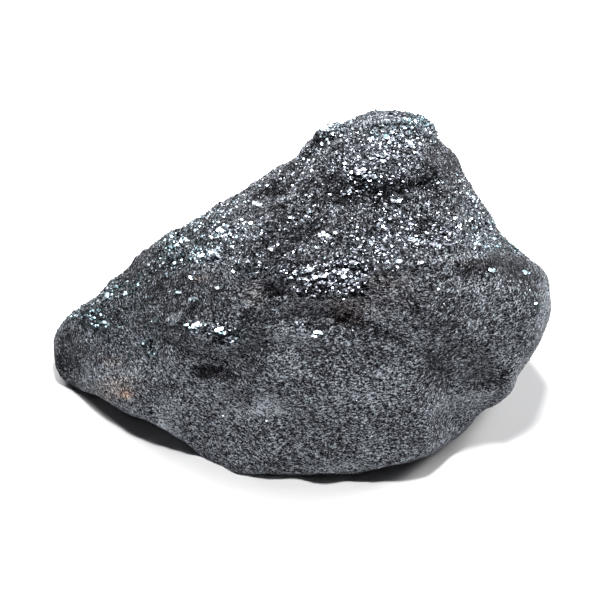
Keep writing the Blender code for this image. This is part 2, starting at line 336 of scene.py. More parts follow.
    "left_low_dark": (132, 382, 3.0, 1.6, 0, -0.6, 0),
    "left_low_light": (165, 406, 3.0, 2.0, 0, 0.5, 0),
    "left_foot_light": (170, 430, 3.0, 1.2, -35, 0.8, 0),
    # lower face and foot
    "lower_light": (268, 408, 4.0, 2.0, 10, 1.2, 0),
    "lower_light_left": (212, 399, 3.6, 2.0, 0, 0.4, 0),
    "lower_dark": (246, 404, 1.1, 1.3, 0, -1.1, 0),
    "foot_dark": (280, 463, 3.4, 0.7, 0, -0.9, 0),
    "belly": (368, 388, 8.0, 4.0, 0, 0.4, 0),
    "face_middle": (345, 352, 8.0, 5.0, 0, -0.3, 0),
    "face_low_left": (305, 387, 5.0, 1.6, 0, -0.5, 0),
    "face_low_light": (262, 417, 5.4, 2.4, 0, 1.0, 0),
    "face_foot": (336, 470, 5.0, 1.6, 0, 1.3, 0),
    "face_low_middle": (370, 395, 5.0, 2.0, 0, 0.6, 0),
    "face_low_right": (370, 448, 3.0, 2.4, 0, 0.8, 0),
    "face_right_dark": (386, 340, 2.2, 1.6, 0, -0.6, 0),
}

# Ledges and hollows: x, y, the half sizes and the turn as above, then the height in millimetres.
LEDGES = {
    "summit_right_corner": (424, 126, 3.0, 2.6, 0, 0.3),
    "summit_rim": (372, 123, 5.0, 0.7, 6, 0.2),
    "summit_rib": (342, 138, 3.2, 0.8, 48, 0.3),
    "summit_ledge": (376, 178, 5.4, 1.8, -4, 0.45),
    "summit_ledge_right": (412, 176, 3.4, 1.6, 10, 0.5),
    "under_ledge_right": (384, 203, 3.6, 1.8, 0, -0.3),
    "knob": (326, 131, 2.8, 1.6, 20, 0.3),
    "knob_groove": (322, 143, 3.0, 1.0, 8, -0.7),
    "crest_hollow": (279, 187, 2.9, 1.7, 15, -0.6),
    "crest_rim": (287, 199, 2.6, 0.7, 35, 0.4),
    "right_hollow": (430, 185, 2.6, 1.8, 0, -0.5),
    "valley": (298, 228, 4.4, 2.4, 20, -0.45),
    "slope_step": (205, 270, 8.0, 0.9, 10, 0.3),
    "break_hollow": (277, 290, 3.0, 1.7, 0, -0.7),
    "break_lip": (317, 291, 7.4, 3.0, 5, 1.3),
    "break_lip_right": (353, 283, 4.0, 2.2, 28, 0.7),
    "break_lip_far": (382, 277, 3.4, 2.0, 10, 0.6),
    "dark_band": (316, 313, 7.0, 1.6, 0, -0.35),
    "dark_band_middle": (347, 314, 3.0, 1.7, -30, -0.2),
    "right_break_lip": (446, 247, 9.0, 1.2, -2, 0.25),
    "shelf": (210, 338, 7.6, 2.1, -8, 0.9),
    "shelf_pink": (176, 319, 1.7, 0.8, 28, 0.5),
    "shelf_right": (290, 334, 4.6, 1.2, -4, 0.3),
    "shelf_hollow": (218, 374, 5.0, 1.8, -12, -0.2),
    "foot": (330, 474, 16.0, 1.8, 0, -0.4),
}

# Where the outline stands out from the solid, or in, clockwise from the left: x, y, the half sizes
# and the turn as above, then the distance in millimetres.
EDGES = {
    "left_edge": (94, 293, 2.8, 2.0, 38, -0.7),
    "left_shoulder": (141, 257, 3.6, 2.0, 44, 0.4),
    "left_slope": (185, 221, 3.6, 2.0, 30, -0.8),
    "crest_left": (241, 190, 6.4, 2.2, 36, -0.75),
    "crest_middle": (257, 177, 3.8, 2.0, 36, -0.9),
    "crest_right": (290, 162, 2.0, 1.6, 30, 0.25),
    "knob_side": (309, 148, 2.4, 1.8, 50, 1.5),
    "summit_top": (385, 110, 6.5, 2.0, 0, -0.4),
    "summit_corner": (414, 115, 3.4, 1.6, -10, 0.35),
    "summit_notch": (442, 137, 2.0, 1.6, -60, -0.7),
    "flank_upper": (454, 160, 2.6, 2.0, -60, 0.8),
    "flank_lower": (478, 208, 4.4, 2.0, -60, 1.1),
    "flank_low_end": (489, 222, 2.0, 1.6, -50, 0.8),
    "right_bulge": (553, 296, 4.4, 2.0, 90, -0.75),
    "right_below": (543, 340, 3.2, 2.0, 70, -0.5),
    "right_low": (528, 377, 3.8, 2.4, 60, -1.6),
    "right_foot": (503, 406, 4.4, 2.2, 38, -0.8),
    "foot_lower_end": (484, 417, 2.4, 1.8, 35, -0.6),
    "foot_right_end": (459, 435, 2.6, 1.8, 35, 0.6),
    "foot_right": (382, 471, 4.2, 1.8, 15, -0.5),
    "foot": (345, 476, 7.0, 2.0, 0, -0.15),
    "foot_middle": (258, 475, 4.6, 2.0, -3, -0.8),
    "foot_left": (216, 464, 6.4, 2.4, -27, -0.7),
    "foot_step": (183, 447, 2.4, 1.6, -38, -0.9),
    "foot_far_left": (140, 420, 4.6, 1.8, -24, -0.5),
    "tip_foot": (72, 380, 2.4, 1.8, -30, 0.5),
    "tip": (60, 368, 2.6, 2.2, -55, 1.3),
}

# Shifts of the underside near the floor: the x and y of the middle, the radius, how far it comes
# down and how far the bulge over it stands back, in millimetres. Below 0 is up, or forward.
FEET = {
    "front_left": (-14.5, -22.0, 8.5, 3.6, 3.0),
    "front": (-4.0, -27.0, 7.0, 1.2, 1.2),
    "front_right": (12.0, -27.5, 7.5, 0.5, 1.1),
    "right_front": (30.0, -20.0, 7.5, 2.2, 3.2),
    "left_front": (-33.0, -12.0, 8.0, -0.6, -1.4),
    "tip": (-43.5, -0.5, 5.5, 1.6, 0.8),
}

# Rust stains: x, y, the half sizes and the turn as above, then the strength.
RUST_SPOTS = {
    "left_rust": (125, 391, 1.3, 1.0, 20, 0.7),
    "left_rust_upper": (112, 360, 2.4, 1.0, 0, 0.25),
    "middle_rust": (255, 293, 2.2, 2.8, 0, 0.2),
    "slope_rust": (200, 279, 1.8, 0.6, 0, 0.4),
    "left_rust_patch": (117, 386, 4.4, 2.4, 20, 0.34),
    "dark_band_red": (346, 311, 3.4, 2.4, -15, 0.2),
    "band_warmth": (350, 292, 12.0, 5.0, 0, 0.13),
    "band_right_red": (383, 280, 3.6, 1.6, -8, 0.15),
    "right_red": (470, 263, 4.4, 0.8, -4, 0.12),
}

# Single large glints: a pixel of the picture, and the width in millimetres of the group of flakes.
BRIGHT_FLAKES = {
    "shelf_big": (196, 326, 2.0),
    "shelf_second": (223, 333, 2.2),
    "shelf_third": (232, 339, 1.4),
    "shelf_right": (317, 335, 1.4),
    "break_left": (302, 279, 1.2),
    "break_middle": (342, 272, 2.2),
    "break_right": (398, 262, 1.0),
    "summit_middle": (386, 138, 2.2),
    "summit_right": (407, 144, 1.6),
    "summit_top": (404, 122, 1.4),
    "summit_low": (382, 157, 1.6),
    "ledge_left": (357, 173, 2.0),
    "ledge_right": (370, 176, 1.4),
    "knob": (326, 129, 1.6),
    "under_summit": (350, 192, 0.9),
    "crest_side": (397, 202, 1.0),
    "valley": (324, 236, 1.4),
    "slope_streak": (183, 240, 1.0),
    "slope_middle": (222, 231, 1.4),
    "slope_low": (214, 255, 2.2),
    "slope_top": (258, 205, 1.2),
    "slope_right": (272, 249, 0.8),
    "left_one": (109, 295, 1.0),
    "left_two": (98, 326, 1.0),
    "left_three": (117, 287, 0.6),
    "mid_one": (219, 288, 0.8),
    "mid_two": (194, 299, 0.9),
    "mid_three": (180, 293, 0.7),
    "right_one": (492, 271, 0.7),
    "right_two": (526, 273, 0.7),
    "right_three": (536, 304, 0.8),
    "right_four": (454, 337, 0.7),
    "band_one": (435, 246, 1.0),
    "band_two": (420, 263, 0.7),
    "pocket": (298, 322, 0.8),
    "lip_left": (307, 284, 1.0),
    "lip_left_top": (314, 277, 1.2),
    "lip_middle_top": (323, 275, 1.2),
    "lip_middle": (331, 284, 1.2),
    "band_over_lip": (354, 263, 0.8),
    "lip_foot": (318, 289, 1.0),
    "lip_left_end": (296, 272, 0.8),
    "lip_top": (311, 270, 0.9),
    "lip_right_foot": (364, 291, 0.6),
    "lip_low": (322, 282, 1.0),
}


def direction(azimuth, rise):
    """Unit vector at this azimuth and rise, in degrees."""
    turn, up = np.radians(azimuth), np.radians(rise)
    return np.array([np.cos(turn) * np.cos(up), np.sin(turn) * np.cos(up), np.sin(up)])


def unit(vectors):
    """The vectors scaled to length 1."""
    return vectors / np.maximum(np.linalg.norm(vectors, axis=-1, keepdims=True), 1e-12)


def smooth_step(low, high, values):
    """0 at low, 1 at high and a smooth change between them. low may be the larger number."""
    share = np.clip((values - low) / (high - low), 0, 1)
    return share * share * (3 - 2 * share)


def lumps(points, size, shift, octaves=1):
    """Smooth noise, about -1 to 1, with lumps of this size. Each shift gives another pattern."""
    places = points / size + shift
    if octaves == 1:
        return np.array([noise.noise(p) for p in places])
    return np.array([noise.fractal(p, 1.0, 2.0, octaves) for p in places])


def mixed_lumps(points, layers):
    """The sum of several layers of smooth noise."""
    return sum(strength * lumps(points, size, shift) for strength, size, shift in layers)


POLE = direction(*LAYER_NORMAL)
TO_CAMERA = direction(270, CAMERA_RISE)
PICTURE_UP = direction(90, 90 - CAMERA_RISE)


def seen_at(points):
    """Where each point is in the picture, in pixels across and down."""
    offset = points - np.array(CAMERA_AIM)
    scale = CAMERA_DISTANCE / (CAMERA_DISTANCE - offset @ TO_CAMERA) / MM_PER_PIXEL
    return PICTURE_CENTRE + offset[:, 0] * scale, PICTURE_CENTRE - offset @ PICTURE_UP * scale


def ray_through(x, y):
    """The camera's place, and the direction from it through a pixel of the picture."""
    aim = np.array(CAMERA_AIM)
    eye = aim + TO_CAMERA * CAMERA_DISTANCE
    across = np.array([1.0, 0, 0]) * (x - PICTURE_CENTRE) * MM_PER_PIXEL
    target = aim + across + PICTURE_UP * (PICTURE_CENTRE - y) * MM_PER_PIXEL
    return Vector(eye), Vector(unit(target - eye))


# -------- the rock's surface


def cube_grid():
    """A cube from -1 to 1 with its sides divided into a grid: its points and its quads."""
    mesh = bmesh.new()
    bmesh.ops.create_cube(mesh, size=2.0)
    bmesh.ops.subdivide_edges(mesh, edges=mesh.edges[:], cuts=CELLS - 1, use_grid_fill=True)
    points = np.array([v.co for v in mesh.verts])
    quads = np.array([[v.index for v in face.verts] for face in mesh.faces])
    mesh.free()
    return points, quads


class Surface:
    """The grid's points on the rock, in millimetres, with what is worked out from them."""

    def __init__(self, cube, quads):
        self.cube = cube
        self.quads = quads
        ends = np.concatenate([quads[:, [k, (k + 1) % 4]] for k in range(4)])
        self.ends = ends
        self.count = np.bincount(ends[:, 0], minlength=len(cube))[:, None].astype(float)
        self.points = cube

    def around(self, values):
        """For each point, the mean of values over its neighbours."""
        columns = values.reshape(len(values), -1)
        near = [np.bincount(self.ends[:, 0], c[self.ends[:, 1]], len(values)) for c in columns.T]
        return (np.stack(near, 1) / self.count).reshape(values.shape)

    def smoothed(self, values, rounds, keep_volume=False):
        """values after this many rounds of averaging with the neighbours."""
        for _ in range(rounds):
            values = values + SMOOTHING * (self.around(values) - values)
            if keep_volume:
                values = values - REGROWTH * (self.around(values) - values)
        return values

    def normals(self):
        """Outward unit normal at each point."""
        corner = self.points[self.quads]
        across = np.cross(corner[:, 2] - corner[:, 0], corner[:, 3] - corner[:, 1])
        total = np.zeros_like(self.points)
        for k in range(4):
            for axis in range(3):
                total[:, axis] += np.bincount(self.quads[:, k], across[:, axis], len(total))
        return unit(total)


def solid_tree(node):
    """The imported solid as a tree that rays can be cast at, in millimetres."""
    mesh = node.data
    points = [v.co / MM for v in mesh.vertices]
    return BVHTree.FromPolygons(points, [p.vertices[:] for p in mesh.polygons])


def wrap(surface, tree):
    """Draws the grid over the solid, and evens out its cells."""
    rays = unit(np.tan(surface.cube * np.pi / 4) * GRID_STRETCH)
    for step in range(RELAXING_STEPS + 1):
        starts = HEART + rays * OUTSIDE
        hits = [tree.ray_cast(Vector(s), Vector(-r)) for s, r in zip(starts, rays)]
        surface.points = np.array([hit[0] for hit in hits])
        if step < RELAXING_STEPS:
            rays = unit(surface.around(surface.points) - HEART)
    surface.points = surface.smoothed(surface.points, FACET_SMOOTHING, keep_volume=True)


def shingles(points, size, tilt):
    """Height of small plates that overlap: each is flat and tilted in its own way."""
    heights = np.empty(len(points))
    for i, place in enumerate(points / size):
        _, centres = noise.voronoi(place)
        centre = centres[0]
        heights[i] = (Vector(place) - centre).dot(noise.cell_vector(centre * 7.31))
    return tilt * size * heights


def layer_steps(points):
    """Height of the worn edges of the layers, which wander and come and go."""
    level = points @ POLE / LAYER_THICKNESS + 1.1 * lumps(points, 6.0, shift=21.0)
    part = level - np.floor(level)
    rising, falling = part / LAYER_SLOPE, (1 - part) / (1 - LAYER_SLOPE)
    step = np.where(part < LAYER_SLOPE, rising, falling) - 0.5
    clear = smooth_step(-0.1, 0.4, lumps(points, 5.0, shift=31.0))
    return LAYER_STEP * step * (0.25 + 0.75 * clear)


def fine_relief(surface, upper, ledges):
    """How far the fine surface stands out from the smooth one."""
    points = surface.points
    relief = ledges + SWELL_HEIGHT * lumps(points, SWELL_SIZE, shift=3.0, octaves=2)
    height = GRAIN_HEIGHT + TOP_GRAIN_HEIGHT * upper
    relief += height * lumps(points, GRAIN_SIZE, shift=9.0, octaves=2)
    relief += layer_steps(points)
    relief += upper * shingles(points, PLATE_SIZE, PLATE_TILT)
    return relief


def above_break(points, facing):
    """How far each point is above the line where the glittering top ends, in millimetres."""
    across, down = seen_at(points)
    seen = np.array(BREAK_SEEN, float)
    behind = np.array(BREAK_BEHIND)
    height_seen = (np.interp(across, seen[:, 0], seen[:, 1]) - down) * MM_PER_PIXEL
    height_behind = points[:, 2] - np.interp(points[:, 0], behind[:, 0], behind[:, 1])
    share = smooth_step(*SIDE_FADE, facing)
    wander = mixed_lumps(points, BREAK_WANDER)
    return height_seen * share + height_behind * (1 - share) + wander


def from_spot(right, rise, half_width, half_height, turn):
    """How far out in an ellipse each place is: 1 on its edge. The offsets are in pixels."""
    turn = np.radians(turn)
    along = right * np.cos(turn) + rise * np.sin(turn)
    over = rise * np.cos(turn) - right * np.sin(turn)
    return np.hypot(along / half_width, over / half_height) * MM_PER_PIXEL


def edge_shifts(points, facing):
    """How far each point near the outline stands out from the solid."""
    across, down = seen_at(points)
    total = np.zeros(len(points))
    for x, y, half_width, half_height, turn, shift in EDGES.values():
        away = from_spot(across - x, y - down, half_width, half_height, turn)
        total += shift * np.exp(-(away**2))
    return total * smooth_step(*OUTLINE_FADE, np.abs(facing))


def spot_strengths(points, facing, table, columns):
    """For each point, the summed strengths of the named spots, one column for each strength."""
    across, down = seen_at(points)
    ragged = mixed_lumps(points, SPOT_WANDER)
    total = np.zeros((len(points), columns))
    for x, y, half_width, half_height, turn, *strengths in table.values():
        away = from_spot(across - x, y - down, half_width, half_height, turn)
        held = smooth_step(*SPOT_FADE, away + ragged)
        total += held[:, None] * np.array(strengths)
    return total * smooth_step(*SPOT_SIDE_FADE, facing)[:, None]


def footed(points):
    """The points, moved to make the feet."""
    points = points.copy()
    for x, y, radius, drop, stand_back in FEET.values():
        away = np.hypot(points[:, 0] - x, points[:, 1] - y)
        held = smooth_step(radius * 1.3, 0.4 * radius, away)
        points[:, 1] += stand_back * held * smooth_step(*BULGE_FADE, points[:, 2])
        points[:, 2] -= drop * held * smooth_step(*FOOT_FADE, points[:, 2])
    points[:, 2] = np.maximum(points[:, 2], 0.0)
    return points


def rock_surface():
    """The finished surface of the rock, and what its points look like."""
    surface = Surface(*cube_grid())
    wrap(surface, solid_tree(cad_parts["hematite"]))
    outward = unit(surface.smoothed(surface.normals(), 3))
    broad = unit(surface.smoothed(surface.normals(), 12))
    facing = outward @ TO_CAMERA
    upper = smooth_step(*BREAK_FADE, above_break(surface.points, facing))
    upper *= smooth_step(*TOP_FADE, broad[:, 2])
    # The spots' tone is partly painted light and shade, and partly the ore's own patches.
    tone, glitter = spot_strengths(surface.points, facing, SPOTS, 2).T
    rust = spot_strengths(surface.points, facing, RUST_SPOTS, 1)[:, 0]
    patchy = TOP_GLITTER + mixed_lumps(surface.points, GLITTER_PATCHES)
    # Painted shade: the underside and the back are darkened, as is the glittering top.
    tone -= TOP_DARKER * upper + UNDERSIDE_PAINTED_SHADE * smooth_step(*UNDERSIDE_SHADE_FADE, broad[:, 2])
    tone -= BACK_PAINTED_SHADE * smooth_step(*BACK_SHADE_FADE, facing)
    looks = {
        "glitter": np.clip(upper * patchy + glitter, 0.0, 1.0),
        "tone": tone,
        "rust": rust,
        "upper": upper,
    }
    fade = smooth_step(*RELIEF_FADE, surface.points[:, 2])
    ledges = spot_strengths(surface.points, facing, LEDGES, 1)[:, 0]
    relief = (fine_relief(surface, upper, ledges) + edge_shifts(surface.points, facing)) * fade
    surface.points = footed(surface.points + outward * relief[:, None])
    return surface, looks


# -------- meshes

MAP_MARGIN = 0.012  # round each side's square, as a share of it


def add_values(mesh, name, values):
    """Stores one number for each point, for the materials to read."""
    layer = mesh.attributes.new(name, "FLOAT", "POINT")
    layer.data.foreach_set("value", np.asarray(values, np.float32))


def cube_side_map(mesh, surface):
    """A map of the surface: the cube's six sides, laid out as three squares by two."""
    centres = surface.cube[surface.quads].mean(axis=1)
    side = np.abs(centres).argmax(axis=1)
    front = centres[np.arange(len(centres)), side] > 0
    corner = surface.cube[surface.quads]
    across = np.take_along_axis(corner, ((side + 1) % 3)[:, None, None], axis=2)[:, :, 0]
    along = np.take_along_axis(corner, ((side + 2) % 3)[:, None, None], axis=2)[:, :, 0]
    u = (side[:, None] + MAP_MARGIN + (across + 1) / 2 * (1 - 2 * MAP_MARGIN)) / 3
    v = (front[:, None] + MAP_MARGIN + (along + 1) / 2 * (1 - 2 * MAP_MARGIN)) / 2
    layer = mesh.uv_layers.new(name="OFBake")
    layer.data.foreach_set("uv", np.stack([u, v], 2).ravel().astype(np.float32))


def make_rock(surface, looks):
    """The rock's mesh object."""
    mesh = bpy.data.meshes.new("ore_surface")
    mesh.from_pydata(surface.points * MM, [], surface.quads.tolist())
    for name, values in looks.items():
        add_values(mesh, name, values)
    cube_side_map(mesh, surface)
    mesh.polygons.foreach_set("use_smooth", np.ones(len(mesh.polygons), bool))
    rock = bpy.data.objects.new("ore_surface", mesh)
    bpy.context.scene.collection.objects.link(rock)
    return rock


# -------- flakes

FLAKE_SIDES = 5
CLUMP_SIZE = 0.9  # neighbouring flakes within this many millimetres lean the same way
CLUMP_LEAN = 1.0
LOWEST_FLAKE = 0.35  # millimetres over the floor
LEAST_OUTWARD = 0.45  # a flake that would stand closer to edge-on is leant outward
CORNER_SHIFT = 0.28  # the most that a corner moves round the rim, as a share of a side
CORNER_RADII = (0.8, 1.15)  # how far out the corners are, as a share of the radius
STRETCH = 0.6  # how much longer than wide the longest flake is
LIFT, ROOT = 0.02, 0.15  # millimetres over the rock, and in it, before the radius adds to them
SMALLER = 2.4  # above 1, small flakes are more common than large ones
GLINT_RADII = (0.1, 0.28)  # of a bright flake: the smallest, and how much more the largest has
GLINT_LEAN, GROUP_LEAN = 0.12, 0.07  # how far the bright flakes lean their own way
# The bright flakes' tones are higher than the others': a painted highlight on top of their real
# reflection.
GLINT_TONES, GROUP_TONES = (0.65, 1.0), (0.6, 1.0)
GROUP_RADII = (0.16, 0.3)  # before the group's width adds to them
GROUP_STANDING = 0.6
# Where flakes turn blue-green, in pixels: where that starts and where it is whole. The blue-green
# and pink are painted colour fringes of the glints, not the flakes' own colour.
BLUE_LEFT, BLUE_RIGHT, BLUE_TOP = (300, 120), (440, 520), (150, 110)
CROWDING = 1.6  # the power of the glitter that says how thickly the upper flakes lie
UPPER_GLINTS, FINE_GLINTS, LOWER_GLINTS = 0.42, 0.04, 0.008  # the share that is bright
# The flakes spread over the rock: the seed, the number, the smallest and the largest radius in
# millimetres, how far each leans its own way, and how far all of them lean to face along POLE.
FLAKE_SETS = {
    "upper_flakes": (11, 19500, 0.09, 0.34, 0.42, 1.2),
    "fine_flakes": (12, 19500, 0.07, 0.16, 0.5, 1.0),
    "lower_flakes": (13, 9000, 0.06, 0.15, 0.6, 0.1),
}
LARGE_FLAKES_SEED = 14
GROUP_SHAPE = (0.32, 0.2)  # how far its flakes spread across and up, as a share of its width


def scatter(surface, rng, number, weights):
    """Random places on the rock: point, normal and the index of the nearest grid point."""
    corners = surface.quads[:, [0, 1, 2, 0, 2, 3]].reshape(-1, 3)
    a, b, c = (surface.points[corners[:, k]] for k in range(3))
    area = np.linalg.norm(np.cross(b - a, c - a), axis=1)
    above = surface.points[corners][:, :, 2].min(axis=1) > LOWEST_FLAKE
    weight = area * weights[corners].mean(axis=1) * above
    chosen = rng.choice(len(corners), number, p=weight / weight.sum())
    s, t = rng.random((2, number, 1))
    fold = s + t > 1
    s, t = np.where(fold, 1 - s, s), np.where(fold, 1 - t, t)
    n = surface.normals()[corners[chosen]]
    place = a[chosen] + s * (b - a)[chosen] + t * (c - a)[chosen]
    normal = unit(n[:, 0] * (1 - s - t) + n[:, 1] * s + n[:, 2] * t)
    return place, normal, corners[chosen][:, 0]


def flake_mesh(name, rng, places, normals, facing, radius, length, standing):
    """Closed flakes: each is a flat polygon with a point at its root, sunk in the rock."""
    count, sides = len(places), FLAKE_SIDES
    turn = rng.random((count, 1)) * 2 * np.pi
    shifts = rng.uniform(-CORNER_SHIFT, CORNER_SHIFT, (count, sides))
    step = (np.arange(sides) + shifts) * 2 * np.pi / sides
    helper = np.where(np.abs(facing[:, 2:]) < 0.9, [[0, 0, 1.0]], [[1.0, 0, 0]])
    u = unit(np.cross(facing, helper))
    v = np.cross(facing, u)
    first = u * np.cos(turn) + v * np.sin(turn)
    second = np.cross(facing, first)
    size = radius[:, None] * rng.uniform(*CORNER_RADII, (count, sides))
    along = (np.cos(step) * size * length[:, None])[:, :, None] * first[:, None]
    across = (np.sin(step) * size)[:, :, None] * second[:, None]
    lift = LIFT + standing * radius
    rim = (places + normals * lift[:, None])[:, None] + along + across
    middle = places + normals * lift[:, None]
    root = places - normals * (ROOT + radius[:, None] * 0.8)
    points = np.concatenate([rim, middle[:, None], root[:, None]], axis=1).reshape(-1, 3)
    base = np.arange(count)[:, None] * (sides + 2)
    faces = []
    for k in range(sides):
        edge = base + (k + 1) % sides, base + k
        faces += np.concatenate([edge[1], edge[0], base + sides], 1).tolist()
        faces += np.concatenate([edge[0], edge[1], base + sides + 1], 1).tolist()
    mesh = bpy.data.meshes.new(name)
    mesh.from_pydata(points * MM, [], faces)
    flake_map(mesh, count)
    return mesh


def flake_map(mesh, count):
    """Each flake's own square on the map: its top in the middle and its sides round it."""
    sides = FLAKE_SIDES
    across = int(np.ceil(np.sqrt(count)))
    cell = np.stack([np.arange(count) % across, np.arange(count) // across], 1)
    angle = np.arange(sides) * 2 * np.pi / sides
    ring = 0.5 + 0.3 * np.stack([np.cos(angle), np.sin(angle)], 1)
    half = np.pi / sides
    outer = 0.5 + 0.46 * np.stack([np.cos(angle + half), np.sin(angle + half)], 1)
    centre = np.array([0.5, 0.5])
    parts = []
    for k in range(sides):
        ends = ring[k], ring[(k + 1) % sides]
        for triangle in ((ends[0], ends[1], centre), (ends[1], ends[0], outer[k])):
            parts.append((cell[:, None] + np.stack(triangle)).reshape(-1, 2))
    layer = mesh.uv_layers.new(name="OFBake")
    layer.data.foreach_set("uv", (np.concatenate(parts) / across).ravel().astype(np.float32))


def make_flakes(name, rng, places, normals, facing, radius, tone, standing=0.14):
    """A mesh object of many flakes."""
    count = len(places)
    outward = np.einsum("ij,ij->i", facing, normals)[:, None]
    facing = unit(facing + normals * np.clip(LEAST_OUTWARD - outward, 0, None) * 1.6)
    length = 1 + STRETCH * rng.random(count) ** 2
    mesh = flake_mesh(name, rng, places, normals, facing, radius, length, standing)
    tint = tint_at(places, rng)
    for key, values in (("tone", tone), ("gloss", rng.random(count)), ("tint", tint)):
        add_values(mesh, key, np.repeat(values, FLAKE_SIDES + 2))
    # The middle point is marked so the material can darken the rim: a painted fall-off of each
    # glint.
    middles = np.arange(count * (FLAKE_SIDES + 2)) % (FLAKE_SIDES + 2) == FLAKE_SIDES
    add_values(mesh, "middle", middles)
    flakes = bpy.data.objects.new(name, mesh)
    bpy.context.scene.collection.objects.link(flakes)
    return flakes


def tint_at(places, rng):
    """How blue-green (above 0) or pink (below 0) each flake is: painted colour fringes of the
    glints. The ends and the top are bluest.
    """
    across, down = seen_at(places)
    cool = smooth_step(*BLUE_LEFT, across) + smooth_step(*BLUE_RIGHT, across)
    cool += smooth_step(*BLUE_TOP, down)
    return np.clip(cool, 0, 1) - 0.35 + rng.normal(size=len(places)) * 0.35


def spread_flakes(name, surface, weights, glints):
    """Flakes spread over the rock. Their density follows weights, and glints is the share of
    them that face halfway between the key light and someone who looks at that side."""
    seed, number, smallest, largest, lean, align = FLAKE_SETS[name]
    rng = np.random.default_rng(seed)
    places, normals, nearest = scatter(surface, rng, number, weights)
    radius = smallest * (largest / smallest) ** (rng.random(number) ** SMALLER)
    shared = np.array([noise.noise_vector(p) for p in places / CLUMP_SIZE])
    own = rng.normal(size=(number, 3)) * lean
    facing = unit(normals + POLE * align + own + shared * CLUMP_LEAN)
    tone = 0.8 * np.clip(rng.random(number) + 0.3 * lumps(places, CLUMP_SIZE, shift=40.0), 0, 1)
    seen = (normals @ TO_CAMERA > 0)[:, None]
    viewer = np.where(seen, TO_CAMERA, unit(normals * [1, 1, 0] + [0, 0, 0.6]))
    halfway = unit(viewer + direction(*KEY_FROM)) + rng.normal(size=(number, 3)) * GLINT_LEAN
    bright = rng.random(number) < glints[nearest]
    facing = np.where(bright[:, None], unit(halfway), facing)
    bright_radius = GLINT_RADII[0] + GLINT_RADII[1] * rng.random(number) ** 3
    radius = np.where(bright, bright_radius, radius)
    # Painted highlight: the flakes that face the light get a higher tone.
    tone = np.where(bright, rng.uniform(*GLINT_TONES, number), tone)
    return make_flakes(name, rng, places, normals, facing, radius, tone)


def bright_groups(name, surface):
    """The single large glints: groups of flakes that face halfway between camera and light."""
    rng = np.random.default_rng(LARGE_FLAKES_SEED)
    tree = BVHTree.FromPolygons(surface.points.tolist(), surface.quads.tolist())
    halfway = unit(TO_CAMERA + direction(*KEY_FROM))
    places, normals, radius = [], [], []
    for x, y, width in BRIGHT_FLAKES.values():
        for _ in range(int(4 + 6 * width)):
            off = rng.normal(size=2) * np.array(GROUP_SHAPE) * width / MM_PER_PIXEL
            place, normal, _, _ = tree.ray_cast(*ray_through(x + off[0], y + off[1]))
            if place is None:
                continue
            places.append(place[:])
            normals.append(normal[:])
            radius.append(rng.uniform(*GROUP_RADII) * (1 + 0.3 * width))
    places, normals, radius = np.array(places), np.array(normals), np.array(radius)
    facing = unit(halfway + rng.normal(size=places.shape) * GROUP_LEAN)
    # Painted highlight: the group's flakes, which face the light, get a higher tone.
    tone = rng.uniform(*GROUP_TONES, len(places))
    return make_flakes(name, rng, places, normals, facing, radius, tone, GROUP_STANDING)


# -------- materials


class Nodes:
    """Shorthand for adding nodes to a material."""

    def __init__(self, name):
        self.material = bpy.data.materials.new(name)
        self.material.use_nodes = True
        self.tree = self.material.node_tree
        self.shader = self.tree.nodes["Principled BSDF"]

    def add(self, kind, settings=None, **inputs):
        """A node of this kind. An input is a value or another node's output, and _0 is the first."""
        node = self.tree.nodes.new(kind)
        for key, value in (settings or {}).items():
            setattr(node, key, value)
        for key, value in inputs.items():
            self.set(node, int(key[1:]) if key[0] == "_" else key, value)
        return node

    def set(self, node, key, value):
        """Sets an input of a node to a value, or links another node's output to it."""
        if isinstance(value, bpy.types.NodeSocket):
            self.tree.links.new(value, node.inputs[key])
        else:
            node.inputs[key].default_value = value

    def math(self, operation, *values, clamp=False):
        """The result of an operation on numbers."""
        inputs = {f"_{i}": value for i, value in enumerate(values)}
        settings = {"operation": operation, "use_clamp": clamp}
        return self.add("ShaderNodeMath", settings, **inputs).outputs[0]

    def vector(self, operation, *values):
        """The result of an operation on vectors or colours."""
        node = self.add("ShaderNodeVectorMath", {"operation": operation})
        for i, value in enumerate(values):
            slot = 3 if operation == "SCALE" and i == 1 else i
            self.set(node, slot, value)
        return node.outputs[0]

    def mix(self, share, first, second, blend="MIX"):
        """A share of the second colour in the first one."""
        node = self.add("ShaderNodeMix", {"data_type": "RGBA", "blend_type": blend}, _0=share)
        self.set(node, 6, first)
        self.set(node, 7, second)
        return node.outputs[2]

    def noise(self, place, scale, detail, roughness):
        """Smooth noise, from 0 to 1."""
        inputs = {"Scale": scale, "Detail": detail, "Roughness": roughness}
        return self.add("ShaderNodeTexNoise", _0=place, **inputs).outputs[0]

    def cells(self, place, scale):
        """The outputs of a pattern of cells, and three random numbers for each cell."""
        pattern = self.add("ShaderNodeTexVoronoi", _0=place, Scale=scale).outputs
        return pattern, self.add("ShaderNodeSeparateColor", _0=pattern["Color"]).outputs

    def attribute(self, name):
        """A number that the mesh holds for each point."""
        return self.add("ShaderNodeAttribute", {"attribute_name": name}).outputs["Fac"]


def squeezed(m, mm, amount):
    """The place with its distance along POLE stretched, so that patterns come out flat."""
    depth = m.add("ShaderNodeVectorMath", {"operation": "DOT_PRODUCT"}, _0=mm, _1=tuple(POLE))
    shift = m.vector("SCALE", tuple(POLE), m.math("MULTIPLY", depth.outputs["Value"], amount))
    return m.vector("ADD", mm, shift)


# The ore's patterns: scales are per millimetre, and a squeeze makes them flatter along the layers.
GRAIN_SCALE, GRAIN_SQUEEZE = 4.0, 1.7
STREAK_SCALE, STREAK_SQUEEZE = 1.1, 4.0
FINE_SCALE = 2.6
CLUMP_SCALE = 1.0
PATCH_SCALE = 0.25
PIT_SCALE = 2.7
